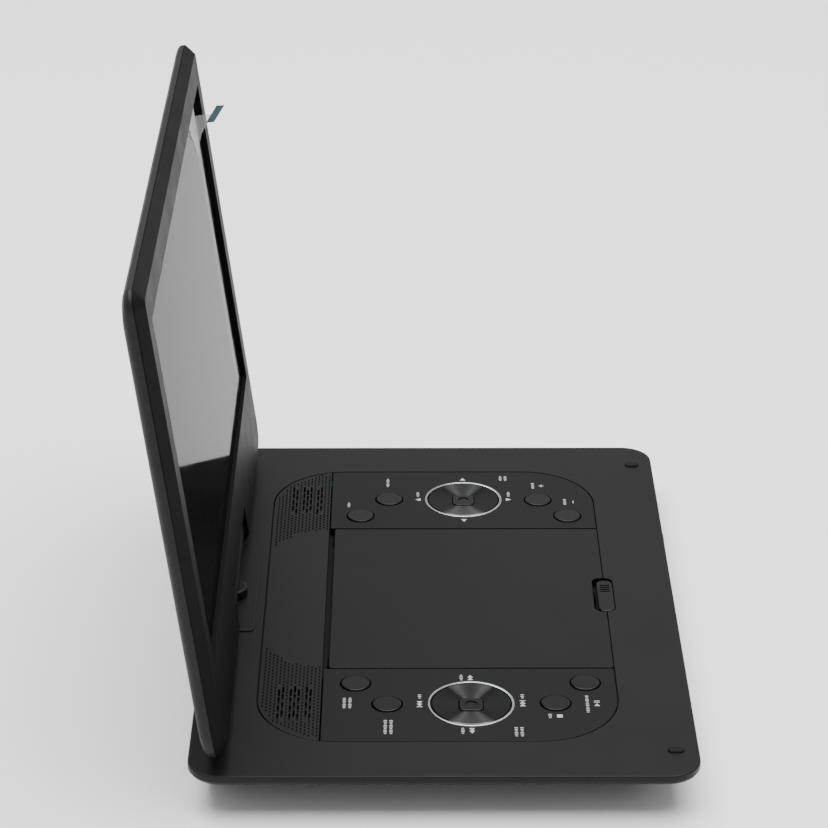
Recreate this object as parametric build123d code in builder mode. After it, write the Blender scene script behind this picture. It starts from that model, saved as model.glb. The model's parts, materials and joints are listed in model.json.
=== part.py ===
from build123d import *
import os
from math import cos, pi, radians, sin

# Portable DVD player: a slim base with a disc well, and a screen lid on a swivel and tilt hinge.
# Millimetres. The origin is on the table, under the centre of the base. +X is the user's right,
# +Y runs from the user to the hinge, +Z is up. The lid is modelled open, leaning back.

# ---------------------------------------------------------------- driving dimensions
CASE_W, CASE_D, CASE_R = 330.6, 227.6, 15.0  # plan of the base and of the lid
DECK_Z = 23.5  # top of the base
COVER_T = 2.2  # thickness of the top cover and of the panels in it
SPLIT_Z = DECK_Z - 3.0  # parting line of the base
BEVEL_Z = SPLIT_Z - 1.5  # lower edge of the light bevel under the parting line
BOTTOM_Z = 1.5  # flat underside of the base
FLOOR_Z = 3.5  # inside floor of the bottom cover
PLATE_Z = DECK_Z - COVER_T  # underside of the top cover
BELLY_W = 264.0  # width of the flat underside
BELLY_FRONT, BELLY_BACK = -95.0, 108.0

DECK_W, DECK_FRONT, DECK_BACK, DECK_R = 271.8, -80.7, 85.6, 37.0  # outline of the inset panels
DECK_MID = (DECK_FRONT + DECK_BACK) / 2
STRIP_EDGE = 56.0  # front edge of the speaker strip
DOOR_W, DOOR_FRONT, DOOR_BACK = 140.2, -80.3, 53.1
DOOR_MID = (DOOR_FRONT + DOOR_BACK) / 2
SEAM = 0.6  # gap between neighbouring panels
DOOR_GAP = 1.0  # gap between the disc door and the control panels

DISC_Y = -13.6  # centre of the disc well
WELL_R = 62.5

RING_X, RING_Y, RING_R = 103.1, -12.9, 20.0  # navigation rings
KEY_R = 6.65  # round buttons
KEY_HOLE_R = 7.35
KEY_RISE = 0.5  # how far the buttons stand above the deck
KEY_PLACES = {"a": (84.8, 40.3), "b": (103.4, 25.6), "c": (102.6, -51.6), "d": (84.5, -66.1)}
BOARD_Z = 16.5  # underside of the key boards
BOARD_T = 1.2

LID_OPEN = 97.3  # degrees from closed
HINGE_Y, HINGE_Z = 105.6, 34.4  # tilt axis, along X
SWIVEL_Y = 101.8  # swivel axis, along Z
LID_FRONT = 9.7  # the lid's front face in front of the tilt axis
LID_SPLIT = 5.0  # parting plane of the lid
LID_BACK = -0.9  # the lid's back face
LID_BOTTOM = -8.2  # the lid's lower edge below the tilt axis
LID_R, LID_LOW_R = 8.0, 15.0  # upper and lower corners of the lid
WINDOW_W, WINDOW_H, WINDOW_LOW = 296.0, 163.0, 38.3
WINDOW_MID = WINDOW_LOW + WINDOW_H / 2
NOTCH_W, NOTCH_TOP = 94.0, 12.8
BARREL_R, BARREL_W = 7.6, 92.6
GLASS_FRONT = LID_FRONT - 2.1

LEFT, RIGHT = -1, 1
lean = radians(LID_OPEN)
LID = Plane(origin=(0, HINGE_Y, HINGE_Z), x_dir=(1, 0, 0), z_dir=(0, -sin(lean), -cos(lean)))

pieces = {}


def deck_outline(grow=0.0):
    """The rounded outline that the panels fill, grown or shrunk all round."""
    with Locations((0, DECK_MID)):
        RectangleRounded(DECK_W + 2 * grow, DECK_BACK - DECK_FRONT + 2 * grow, DECK_R + grow)


def case_outline(inset=0.0, radius=CASE_R):
    RectangleRounded(CASE_W - 2 * inset, CASE_D - 2 * inset, radius)


def span(x0, y0, x1, y1, mode=Mode.ADD):
    """A plain rectangle given by two corners."""
    with Locations(((x0 + x1) / 2, (y0 + y1) / 2)):
        Rectangle(abs(x1 - x0), abs(y1 - y0), mode=mode)


# ---------------------------------------------------------------- base: top cover
SCREW_PLACES = [(s * x, y) for s in (LEFT, RIGHT) for x, y in ((120, -88), (60, 97), (120, 97))]
LEDGE_Z = 19.8
LATCH_LEFT, LATCH_RIGHT = -16.7, 17.3
LATCH_FRONT, LATCH_BACK = -84.9, -74.6
HINGE_PLATE_W, HINGE_PLATE_FRONT, HINGE_PLATE_H = 72.0, 89.4, 0.8
SWIVEL_BORE_R = 5.1
IR_X = 63.0

with BuildPart() as top_cover:
    with BuildSketch(Plane.XY.offset(SPLIT_Z)):
        case_outline()
    extrude(amount=DECK_Z - SPLIT_Z)
    fillet(top_cover.edges().group_by(Axis.Z)[-1], radius=0.7)
    with BuildSketch(Plane.XY.offset(SPLIT_Z)):
        case_outline(inset=2.2, radius=CASE_R - 2.2)
    extrude(amount=PLATE_Z - SPLIT_Z, mode=Mode.SUBTRACT)
    with BuildSketch(Plane.XY.offset(LEDGE_Z)):
        deck_outline(grow=3.0)
    extrude(amount=PLATE_Z - LEDGE_Z)
    with BuildSketch(Plane.XY.offset(PLATE_Z)):
        deck_outline()
    extrude(amount=COVER_T, mode=Mode.SUBTRACT)
    with BuildSketch(Plane.XY.offset(LEDGE_Z)):
        deck_outline(grow=-2.5)
    extrude(amount=PLATE_Z - LEDGE_Z, mode=Mode.SUBTRACT)
    # seat of the open latch, thickened below
    with BuildSketch(Plane.XY.offset(LEDGE_Z)):
        span(LATCH_LEFT - 4, LATCH_FRONT - 3, LATCH_RIGHT + 4, DECK_FRONT + 2.5)
    extrude(amount=PLATE_Z - LEDGE_Z)
    with BuildSketch(Plane.XY.offset(PLATE_Z)):
        with Locations(((LATCH_LEFT + LATCH_RIGHT) / 2, (LATCH_FRONT + LATCH_BACK) / 2)):
            RectangleRounded(LATCH_RIGHT - LATCH_LEFT, LATCH_BACK - LATCH_FRONT, 4.0)
    extrude(amount=COVER_T, mode=Mode.SUBTRACT)
    with BuildSketch(Plane.XY.offset(LEDGE_Z)):
        span(-6, -82.2, 9, -79.0)
    extrude(amount=PLATE_Z - LEDGE_Z, mode=Mode.SUBTRACT)
    # raised plate under the hinge, and the hole for the swivel shaft
    with BuildSketch(Plane.XY.offset(DECK_Z - 0.5)):
        with Locations((0, (HINGE_PLATE_FRONT + CASE_D / 2 - 1) / 2)):
            RectangleRounded(HINGE_PLATE_W, CASE_D / 2 - 1 - HINGE_PLATE_FRONT, 3.0)
    extrude(amount=HINGE_PLATE_H + 0.5)
    fillet(top_cover.edges().group_by(Axis.Z)[-1], radius=0.5)
    with BuildSketch(Plane.XY.offset(PLATE_Z)):
        with Locations((0, SWIVEL_Y)):
            Circle(SWIVEL_BORE_R)
    extrude(amount=COVER_T + HINGE_PLATE_H, mode=Mode.SUBTRACT)
    # screw bosses
    with BuildSketch(Plane.XY.offset(8.2)):
        with Locations(*SCREW_PLACES):
            Circle(3.4)
    extrude(amount=PLATE_Z - 8.2)
    with BuildSketch(Plane.XY.offset(8.2)):
        with Locations(*SCREW_PLACES):
            Circle(1.25)
    extrude(amount=10, mode=Mode.SUBTRACT)
    # window in the front edge for the remote control receiver
    with BuildSketch(Plane.XZ.offset(CASE_D / 2 - 2.6)):
        with Locations((IR_X, SPLIT_Z + 0.9)):
            Rectangle(7.0, 1.8)
    extrude(amount=3, mode=Mode.SUBTRACT)
pieces["base_top_cover"] = top_cover

# ---------------------------------------------------------------- base: bottom cover
BAY_X, BAY_FRONT, BAY_BACK, BAY_TOP = 148.0, -62.0, 72.0, 18.4  # port bay in the right flank
BAY_WALL = 2.0
PORT_Z = 15.1  # height of the socket axes
FOOT_PLACES = [(s * x, y) for s in (LEFT, RIGHT) for x, y in ((105, -84), (90, 97))]
FOOT_R, FOOT_SINK = 6.0, 0.6
BELLY_MID, BELLY_D = (BELLY_FRONT + BELLY_BACK) / 2, BELLY_BACK - BELLY_FRONT
POST_TOP = 8.0
DC_Y, JACK_YS, USB_Y, CARD_Y, SWITCH_Y, WHEEL_Y = -52.0, (-39.0, -28.0, -17.0), 0.0, 24.0, 48.0, 62.0
WHEEL_R, WHEEL_X = 7.0, 143.5

with BuildPart() as case_cavity:
    with BuildSketch(Plane.XY.offset(SPLIT_Z)):
        case_outline(inset=4.0, radius=CASE_R - 4)
    with BuildSketch(Plane.XY.offset(FLOOR_Z)):
        with Locations((0, BELLY_MID - 0.4)):
            RectangleRounded(BELLY_W - 1.4, BELLY_D - 2.2, 11)
    loft(ruled=True)
    with BuildSketch(Plane.XY.offset(BOTTOM_Z)):
        span(BAY_X - BAY_WALL, BAY_FRONT - BAY_WALL, CASE_W / 2, BAY_BACK + BAY_WALL)
    extrude(amount=BAY_TOP + 1.2 - BOTTOM_Z, mode=Mode.SUBTRACT)

with BuildPart() as bottom_cover:
    with BuildSketch(Plane.XY.offset(SPLIT_Z)):
        case_outline()
    with BuildSketch(Plane.XY.offset(BEVEL_Z)):
        case_outline(inset=1.0, radius=CASE_R - 1)
    loft(ruled=True)
    with BuildSketch(Plane.XY.offset(BEVEL_Z)):
        case_outline(inset=1.0, radius=CASE_R - 1)
    with BuildSketch(Plane.XY.offset(BOTTOM_Z)):
        with Locations((0, BELLY_MID)):
            RectangleRounded(BELLY_W, BELLY_D, 12)
    loft(ruled=True)
    add(case_cavity.part, mode=Mode.SUBTRACT)
    # port bay: a notch in the flank with an upright wall
    with BuildSketch(Plane.XY.offset(BOTTOM_Z - 1)):
        span(BAY_X, BAY_FRONT, CASE_W / 2 + 1, BAY_BACK)
    extrude(amount=BAY_TOP - BOTTOM_Z + 1, mode=Mode.SUBTRACT)
    # openings for the sockets, the power switch and the volume wheel
    with BuildSketch(Plane.YZ.offset(BAY_X - BAY_WALL - 1)):
        with Locations((DC_Y, PORT_Z)):
            Rectangle(8.4, 6.0)
        with Locations(*[(y, PORT_Z) for y in JACK_YS]):
            Circle(3.0)
        with Locations((USB_Y, PORT_Z)):
            Rectangle(13.4, 5.9)
        with Locations((CARD_Y, PORT_Z)):
            Rectangle(27.0, 3.2)
        with Locations((SWITCH_Y, PORT_Z)):
            Rectangle(10.5, 2.8)
        with Locations((WHEEL_Y, PORT_Z)):
            Rectangle(14.0, 3.2)
    extrude(amount=BAY_WALL + 2, mode=Mode.SUBTRACT)
    # screw posts
    with BuildSketch(Plane.XY.offset(FLOOR_Z - 0.5)):
        with Locations(*SCREW_PLACES):
            Circle(5.0)
    extrude(amount=POST_TOP - FLOOR_Z + 0.5)
    with BuildSketch(Plane.XY.offset(BOTTOM_Z)):
        with Locations(*SCREW_PLACES):
            Circle(3.1)
    extrude(amount=3.5, mode=Mode.SUBTRACT)
    with BuildSketch(Plane.XY.offset(BOTTOM_Z)):
        with Locations(*SCREW_PLACES):
            Circle(1.5)
    extrude(amount=POST_TOP, mode=Mode.SUBTRACT)
    # seats of the feet, and cooling slots
    with BuildSketch(Plane.XY.offset(BOTTOM_Z)):
        with Locations(*FOOT_PLACES):
            Circle(FOOT_R + 0.05)
    extrude(amount=FOOT_SINK, mode=Mode.SUBTRACT)
    with BuildSketch(Plane.XY.offset(BOTTOM_Z)):
        with Locations((-85, 72)):
            with GridLocations(5.0, 0, 12, 1):
                SlotOverall(22, 1.8, rotation=90)
    extrude(amount=FLOOR_Z - BOTTOM_Z, mode=Mode.SUBTRACT)
pieces["base_bottom_cover"] = bottom_cover

with BuildPart() as feet:
    with BuildSketch(Plane.XY):
        with Locations(*FOOT_PLACES):
            Circle(FOOT_R)
    extrude(amount=BOTTOM_Z + FOOT_SINK)
    fillet(feet.edges().group_by(Axis.Z)[0], radius=0.5)
pieces["rubber_feet"] = feet

with BuildPart() as screws:
    with BuildSketch(Plane.XY.offset(2.8)):
        with Locations(*SCREW_PLACES):
            Circle(2.8)
    extrude(amount=2.2)
    with BuildSketch(Plane.XY.offset(5.0)):
        with Locations(*SCREW_PLACES):
            Circle(1.2)
    extrude(amount=12)
    with BuildSketch(Plane.XY.offset(2.8)):
        for place in SCREW_PLACES:
            with Locations(place):
                Rectangle(3.2, 0.7)
                Rectangle(0.7, 3.2)
    extrude(amount=1.1, mode=Mode.SUBTRACT)
pieces["base_screws"] = screws

# ---------------------------------------------------------------- panels in the deck
GRILLE_FIRST, GRILLE_PITCH_Y, GRILLE_ROWS = 1.2, 1.82, 15
GRILLE_PITCH_X, SLIT_L, SLIT_W, SLIT_DEPTH = 2.9, 2.1, 0.75, 0.5
GRILLE_OUT = 131.0  # outermost slit
SOUND_ROWS = (2, 3, 5, 6, 7, 9, 10)  # rows that open through to the speaker, counted from the front
SOUND_XS = (91.5, 98.7, 105.9, 113.1)
SOUND_SHIFT = 1.5  # every other row of the long slots is shifted sideways, the rest the other way


def row_y(row):
    return STRIP_EDGE + GRILLE_FIRST + row * GRILLE_PITCH_Y


def grille_reach(row):
    """How far from the middle a row of slits starts: the rows towards the hinge reach further in."""
    return 70.0 - 0.6 * row - 1.6 * max(0, row - 8)


def inside_deck(x, y, margin):
    """True if a point lies inside the deck outline by the margin."""
    dx = max(0.0, abs(x) - (DECK_W / 2 - DECK_R))
    dy = max(0.0, y - (DECK_BACK - DECK_R))
    return (dx * dx + dy * dy) ** 0.5 < DECK_R - margin


def grille_slits(side):
    """Centres of the small slits on one side."""
    places = []
    for row in range(GRILLE_ROWS):
        y = row_y(row)
        x = GRILLE_OUT - (row % 2) * GRILLE_PITCH_X / 2
        while x > grille_reach(row):
            over_speaker = row in SOUND_ROWS and SOUND_XS[0] - 5 < x < SOUND_XS[-1] + 5
            if inside_deck(x, y, 2.2) and not over_speaker:
                places.append((side * x, y))
            x -= GRILLE_PITCH_X
    return places


with BuildPart() as strip:
    with BuildSketch(Plane.XY.offset(PLATE_Z)):
        deck_outline(grow=-SEAM)
        span(-CASE_W, STRIP_EDGE, CASE_W, CASE_D, mode=Mode.INTERSECT)
    extrude(amount=COVER_T)
    fillet(strip.edges().group_by(Axis.Z)[-1], radius=0.25)
    with BuildSketch(Plane.XY.offset(DECK_Z - SLIT_DEPTH)):
        with Locations(*(grille_slits(LEFT) + grille_slits(RIGHT))):
            Rectangle(SLIT_L, SLIT_W)
    extrude(amount=SLIT_DEPTH, mode=Mode.SUBTRACT)
    with BuildSketch(Plane.XY.offset(PLATE_Z)):
        for n, row in enumerate(SOUND_ROWS):
            for middle in SOUND_XS:
                x = middle + SOUND_SHIFT * (-1) ** n
                with Locations((-x, row_y(row)), (x, row_y(row))):
                    Rectangle(6.2, 0.95)
    extrude(amount=COVER_T, mode=Mode.SUBTRACT)
pieces["speaker_strip"] = strip


def control_panel(side):
    """The flush panel beside the disc door, with its key holes and the seat of the ring."""
    ring = (side * RING_X, RING_Y)
    keys = [(side * x, y) for x, y in KEY_PLACES.values()]
    with BuildPart() as panel:
        with BuildSketch(Plane.XY.offset(PLATE_Z)):
            deck_outline(grow=-SEAM)
            inner = side * (DOOR_W / 2 + DOOR_GAP)
            span(inner, -CASE_D, side * CASE_W, STRIP_EDGE - SEAM, mode=Mode.INTERSECT)
        extrude(amount=COVER_T)
        fillet(panel.edges().group_by(Axis.Z)[-1], radius=0.25)
        with BuildSketch(Plane.XY.offset(PLATE_Z)):
            with Locations(*keys):
                Circle(KEY_HOLE_R)
            with Locations(ring):
                Circle(RING_R - 1.1)
        extrude(amount=COVER_T, mode=Mode.SUBTRACT)
        with BuildSketch(Plane.XY.offset(DECK_Z - 0.9)):
            with Locations(ring):
                Circle(RING_R + 0.1)
        extrude(amount=0.9, mode=Mode.SUBTRACT)
    return panel


with BuildPart() as rings:
    with BuildSketch(Plane.XY.offset(DECK_Z - 0.85)):
        with Locations((-RING_X, RING_Y), (RING_X, RING_Y)):
            Circle(RING_R)
            Circle(RING_R - 1.3, mode=Mode.SUBTRACT)
    extrude(amount=1.25)
    fillet(rings.edges().group_by(Axis.Z)[-1], radius=0.4)
pieces["chrome_rings"] = rings

RING_PLACES = [(s * RING_X, RING_Y) for s in (LEFT, RIGHT)]
ALL_KEYS = [(s * x, y) for s in (LEFT, RIGHT) for x, y in KEY_PLACES.values()]

# circuit boards under the control panels, with a dome switch under each key, four under each
# rocker disc and one in its middle
with BuildPart() as key_boards:
    with BuildSketch(Plane.XY.offset(BOARD_Z)):
        for s in (LEFT, RIGHT):
            span(s * 77, -74, s * 124, 46)
    extrude(amount=BOARD_T)
    with BuildSketch(Plane.XY.offset(BOARD_Z + BOARD_T)):
        with Locations(*ALL_KEYS):
            RectangleRounded(4.4, 4.4, 0.6)
        with Locations(*RING_PLACES):
            Rectangle(4.0, 4.0)
            with PolarLocations(14.0, 4):
                Rectangle(3.0, 3.0)
    extrude(amount=0.45)
    with BuildSketch(Plane.XY.offset(BOARD_Z + BOARD_T)):
        with Locations(*(ALL_KEYS + RING_PLACES)):
            Circle(1.4)
    extrude(amount=0.8)
pieces["key_boards"] = key_boards


def round_key(side, place):
    """A button cap with the flange that keeps it in and the stem that presses its switch."""
    x, y = side * place[0], place[1]
    with BuildPart() as key:
        with BuildSketch(Plane.XY.offset(19.3)):
            with Locations((x, y)):
                Circle(2.4)
        extrude(amount=1.0)
        with BuildSketch(Plane.XY.offset(20.2)):
            with Locations((x, y)):
                Circle(7.8)
        extrude(amount=0.9)
        with BuildSketch(Plane.XY.offset(21.1)):
            with Locations((x, y)):
                Circle(KEY_R)
        extrude(amount=DECK_Z + KEY_RISE - 21.1)
        fillet(key.edges().group_by(Axis.Z)[-1], radius=0.5)
    return key


DISC_KEY_R, CENTRE_KEY = 18.3, 10.8


def rocker_disc(side):
    """The dished disc inside the ring, with a square opening for the centre key."""
    centre = Location((side * RING_X, RING_Y, 0))
    with BuildPart() as disc:
        with BuildSketch(Plane.XZ):
            with BuildLine():
                Polyline((0, 21.4), (DISC_KEY_R, 21.4), (DISC_KEY_R, 23.3), (DISC_KEY_R - 0.5, 23.75))
                ThreePointArc((DISC_KEY_R - 0.5, 23.75), (9.5, 23.1), (0, 22.9))
                Line((0, 22.9), (0, 21.4))
            make_face()
        revolve(axis=Axis.Z)
        with BuildSketch(Plane.XY.offset(21.4)):
            RectangleRounded(CENTRE_KEY + 0.8, CENTRE_KEY + 0.8, 2.9)
        extrude(amount=3, mode=Mode.SUBTRACT)
    disc.part = disc.part.moved(centre)
    return disc


def centre_key(side):
    """The rounded square key in the middle, with a round dimple."""
    with BuildPart() as key:
        with BuildSketch(Plane.XY.offset(19.25)):
            with Locations((side * RING_X, RING_Y)):
                Circle(2.4)
        extrude(amount=2.25)
        with BuildSketch(Plane.XY.offset(21.4)):
            with Locations((side * RING_X, RING_Y)):
                RectangleRounded(CENTRE_KEY, CENTRE_KEY, 2.5)
        extrude(amount=2.0)
        fillet(key.edges().group_by(Axis.Z)[-1], radius=0.45)
        with BuildSketch(Plane.XY.offset(23.0)):
            with Locations((side * RING_X, RING_Y)):
                Circle(2.9)
        extrude(amount=1, mode=Mode.SUBTRACT)
    return key


def rocker_mat(side):
    """The rubber mat that the disc rocks on."""
    with BuildPart() as mat:
        with BuildSketch(Plane.XY.offset(18.9)):
            with Locations((side * RING_X, RING_Y)):
                Circle(12.0)
                Circle(7.3, mode=Mode.SUBTRACT)
        extrude(amount=2.1)
    return mat


KEY_NAMES = {
    LEFT: {"a": "mode_button", "b": "source_button", "c": "stop_button", "d": "play_button"},
    RIGHT: {"a": "mute_button", "b": "picture_button", "c": "volume_up_button", "d": "volume_down_button"},
}
for side, word in ((LEFT, "left"), (RIGHT, "right")):
    pieces[f"{word}_control_panel"] = control_panel(side)
    pieces[f"{word}_rocker_disc"] = rocker_disc(side)
    pieces[f"{word}_centre_key"] = centre_key(side)
    pieces[f"{word}_rocker_mat"] = rocker_mat(side)
    for spot, place in KEY_PLACES.items():
        pieces[KEY_NAMES[side][spot]] = round_key(side, place)

# ---------------------------------------------------------------- disc door and tray
PIVOT_Y, PIVOT_Z, LUG_R, PIN_R = 52.6, 20.8, 1.3, 0.65
DOOR_LUG, TRAY_LUG = (58.2, 61.5), (61.9, 65.4)
TRAY_W, TRAY_FRONT, TRAY_BACK = 146.0, -78.0, 58.0
TRAY_DECK, TRAY_SHEET, WELL_FLOOR = 19.3, 1.6, 13.0
TRAY_MID = (TRAY_FRONT + TRAY_BACK) / 2


def both_sides(x0, x1):
    """Locations along X of a piece between x0 and x1, and of its mirror image."""
    return [(x0, x1 - x0), (-x1, x1 - x0)]


with BuildPart() as door:
    with BuildSketch(Plane.XY.offset(DECK_Z - 2.0)):
        with Locations((0, DOOR_MID)):
            RectangleRounded(DOOR_W, DOOR_BACK - DOOR_FRONT, 1.2)
    extrude(amount=2.0)
    fillet(door.edges().group_by(Axis.Z)[-1], radius=0.35)
    # stiffening frame underneath
    with BuildSketch(Plane.XY.offset(DECK_Z - 3.0)):
        with Locations((0, DOOR_MID)):
            RectangleRounded(DOOR_W - 12, DOOR_BACK - DOOR_FRONT - 14, 6)
            RectangleRounded(DOOR_W - 16, DOOR_BACK - DOOR_FRONT - 18, 4, mode=Mode.SUBTRACT)
    extrude(amount=1.0)
    # cut-out for the latch
    with BuildSketch(Plane.XY.offset(DECK_Z - 3.0)):
        with Locations(((LATCH_LEFT + LATCH_RIGHT) / 2, (LATCH_FRONT + LATCH_BACK) / 2)):
            RectangleRounded(LATCH_RIGHT - LATCH_LEFT, LATCH_BACK - LATCH_FRONT, 4.0)
    extrude(amount=3.0, mode=Mode.SUBTRACT)
    # hinge lugs, and clearance for the lugs of the tray
    for x, width in both_sides(*DOOR_LUG):
        with BuildSketch(Plane.YZ.offset(x)):
            with Locations((PIVOT_Y, PIVOT_Z)):
                Circle(LUG_R)
            span(PIVOT_Y - LUG_R, PIVOT_Z, PIVOT_Y + 0.4, DECK_Z - 1.9)
        extrude(amount=width)
    for x, width in both_sides(TRAY_LUG[0] - 0.35, TRAY_LUG[1] + 0.35):
        with BuildSketch(Plane.XY.offset(DECK_Z - 3)):
            span(x, PIVOT_Y - 1.9, x + width, DOOR_BACK + 1)
        extrude(amount=2, mode=Mode.SUBTRACT)
    for x, width in both_sides(*DOOR_LUG):
        with BuildSketch(Plane.YZ.offset(x)):
            with Locations((PIVOT_Y, PIVOT_Z)):
                Circle(PIN_R + 0.02)
        extrude(amount=width, mode=Mode.SUBTRACT)
pieces["disc_door"] = door

with BuildPart() as door_pins:
    for x, width in both_sides(DOOR_LUG[0] - 0.4, TRAY_LUG[1] + 0.4):
        with BuildSketch(Plane.YZ.offset(x)):
            with Locations((PIVOT_Y, PIVOT_Z)):
                Circle(PIN_R)
        extrude(amount=width)
pieces["door_hinge_pins"] = door_pins

SCOOP_X, SCOOP_Y, SCOOP_R = 46.0, -56.0, 14.0  # finger scoops at the rim of the well

with BuildPart() as tray:
    with BuildSketch(Plane.XY.offset(TRAY_DECK - TRAY_SHEET)):
        with Locations((0, TRAY_MID)):
            Rectangle(TRAY_W, TRAY_BACK - TRAY_FRONT)
    extrude(amount=TRAY_SHEET)
    with BuildSketch(Plane.XY.offset(WELL_FLOOR - TRAY_SHEET)):
        with Locations((0, DISC_Y)):
            Circle(WELL_R + 1.5)
    extrude(amount=TRAY_DECK - WELL_FLOOR + TRAY_SHEET)
    with BuildSketch(Plane.XY.offset(WELL_FLOOR + 0.7)):
        with Locations((SCOOP_X, SCOOP_Y), (-SCOOP_X, SCOOP_Y)):
            Circle(SCOOP_R + 1.5)
    extrude(amount=TRAY_DECK - WELL_FLOOR - 0.7)
    # rims under the edges of the panels
    with BuildSketch(Plane.XY.offset(TRAY_DECK)):
        for s in (LEFT, RIGHT):
            span(s * (DOOR_W / 2 + DOOR_GAP + 0.3), -75, s * TRAY_W / 2, 52)
        span(-TRAY_W / 2, STRIP_EDGE + 0.4, TRAY_W / 2, TRAY_BACK)
    extrude(amount=PLATE_Z - 0.1 - TRAY_DECK)
    with BuildSketch(Plane.XY.offset(WELL_FLOOR)):
        with Locations((0, DISC_Y)):
            Circle(WELL_R)
    extrude(amount=10, mode=Mode.SUBTRACT)
    with BuildSketch(Plane.XY.offset(WELL_FLOOR + 2.3)):
        with Locations((SCOOP_X, SCOOP_Y), (-SCOOP_X, SCOOP_Y)):
            Circle(SCOOP_R)
    extrude(amount=10, mode=Mode.SUBTRACT)
    # opening for the turntable and the slot that the lens travels in
    with BuildSketch(Plane.XY.offset(WELL_FLOOR - TRAY_SHEET)):
        with Locations((0, DISC_Y)):
            Circle(17.0)
        span(0, DISC_Y - 9.5, 61, DISC_Y + 9.5)
    extrude(amount=TRAY_SHEET, mode=Mode.SUBTRACT)
    # lugs for the door's pins
    for x, width in both_sides(*TRAY_LUG):
        with BuildSketch(Plane.YZ.offset(x)):
            with Locations((PIVOT_Y, PIVOT_Z)):
                Circle(LUG_R)
            span(PIVOT_Y - LUG_R, TRAY_DECK - 0.5, PIVOT_Y + LUG_R, PIVOT_Z)
        extrude(amount=width)
        with BuildSketch(Plane.YZ.offset(x)):
            with Locations((PIVOT_Y, PIVOT_Z)):
                Circle(PIN_R + 0.06)
        extrude(amount=width, mode=Mode.SUBTRACT)
pieces["disc_tray"] = tray

LATCH_L, LATCH_D = 30.6, 7.6
LATCH_Y = LATCH_FRONT + 0.5 + LATCH_D / 2
LATCH_X = LATCH_LEFT + 0.4 + LATCH_L / 2

with BuildPart() as latch:
    with BuildSketch(Plane.XY.offset(PLATE_Z + 0.2)):
        with Locations((LATCH_X, LATCH_Y)):
            RectangleRounded(LATCH_L, LATCH_D, 3.2)
    extrude(amount=DECK_Z + 0.3 - PLATE_Z - 0.2)
    fillet(latch.edges().group_by(Axis.Z)[-1], radius=0.6)
    # grip ribs on the right half
    with BuildSketch(Plane.XY.offset(DECK_Z - 0.1)):
        with Locations((LATCH_X + 7.2, LATCH_Y)):
            with GridLocations(2.0, 0, 4, 1):
                Rectangle(1.0, 4.6)
    extrude(amount=0.4, mode=Mode.SUBTRACT)
    # post that reaches down through the seat
    with BuildSketch(Plane.XY.offset(18.4)):
        span(-4, -81.7, 4, -79.5)
    extrude(amount=PLATE_Z + 0.4 - 18.4)
pieces["open_latch"] = latch

# ---------------------------------------------------------------- disc drive
CHASSIS_Z, CHASSIS_T = 5.0, 1.2
DAMPERS = [(x, y) for x in (-18.0, 72.0) for y in (DISC_Y - 31, DISC_Y + 31)]
ROD_Z, ROD_R, ROD_REACH = 8.0, 1.5, 14.0
SLED_X, SLED_W, SLED_D = 15.0, 18.0, 18.0  # inner edge, width and half depth of the sled
GEAR_R, GEAR_X = 4.0, 33.0
GEAR_Y = DISC_Y - SLED_D - 2.0 - 0.5 - GEAR_R
TOOTH_PITCH = 2 * pi * GEAR_R / 16
TOOTH_H = 0.5

with BuildPart() as chassis:
    with BuildSketch(Plane.XY.offset(CHASSIS_Z)):
        span(-23, DISC_Y - 36, 77, DISC_Y + 36)
        span(15, DISC_Y - 22, 64, DISC_Y + 20, mode=Mode.SUBTRACT)
        with Locations(*DAMPERS):
            Circle(2.1, mode=Mode.SUBTRACT)
    extrude(amount=CHASSIS_T)
    # rod holders
    with BuildSketch(Plane.XY.offset(CHASSIS_Z + CHASSIS_T)):
        for y in (DISC_Y - ROD_REACH, DISC_Y + ROD_REACH):
            span(9.0, y - 2.8, 12.5, y + 2.8)
            span(66.0, y - 2.8, 69.5, y + 2.8)
    extrude(amount=4.2)
    for y in (DISC_Y - ROD_REACH, DISC_Y + ROD_REACH):
        with BuildSketch(Plane.YZ.offset(8.0)):
            with Locations((y, ROD_Z)):
                Circle(ROD_R + 0.02)
        extrude(amount=64, mode=Mode.SUBTRACT)
    # post of the sled gear
    for radius, height in ((2.0, 0.8), (0.74, 3.2)):
        with BuildSketch(Plane.XY.offset(CHASSIS_Z + CHASSIS_T)):
            with Locations((GEAR_X, GEAR_Y)):
                Circle(radius)
        extrude(amount=height)
pieces["drive_chassis"] = chassis

with BuildPart() as rods:
    for y in (DISC_Y - ROD_REACH, DISC_Y + ROD_REACH):
        with BuildSketch(Plane.YZ.offset(9.2)):
            with Locations((y, ROD_Z)):
                Circle(ROD_R)
        extrude(amount=60.1)
pieces["guide_rods"] = rods

with BuildPart() as dampers:
    for radius, z0, z1 in ((3.6, FLOOR_Z, CHASSIS_Z), (2.0, CHASSIS_Z, 6.6), (2.9, 6.3, 7.4)):
        with BuildSketch(Plane.XY.offset(z0)):
            with Locations(*DAMPERS):
                Circle(radius)
        extrude(amount=z1 - z0)
pieces["rubber_dampers"] = dampers

with BuildPart() as motor:
    with BuildSketch(Plane.XY.offset(CHASSIS_Z + CHASSIS_T)):
        with Locations((0, DISC_Y)):
            Circle(11.0)
            Circle(1.56, mode=Mode.SUBTRACT)
    extrude(amount=4.2)
pieces["spindle_motor"] = motor

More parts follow.
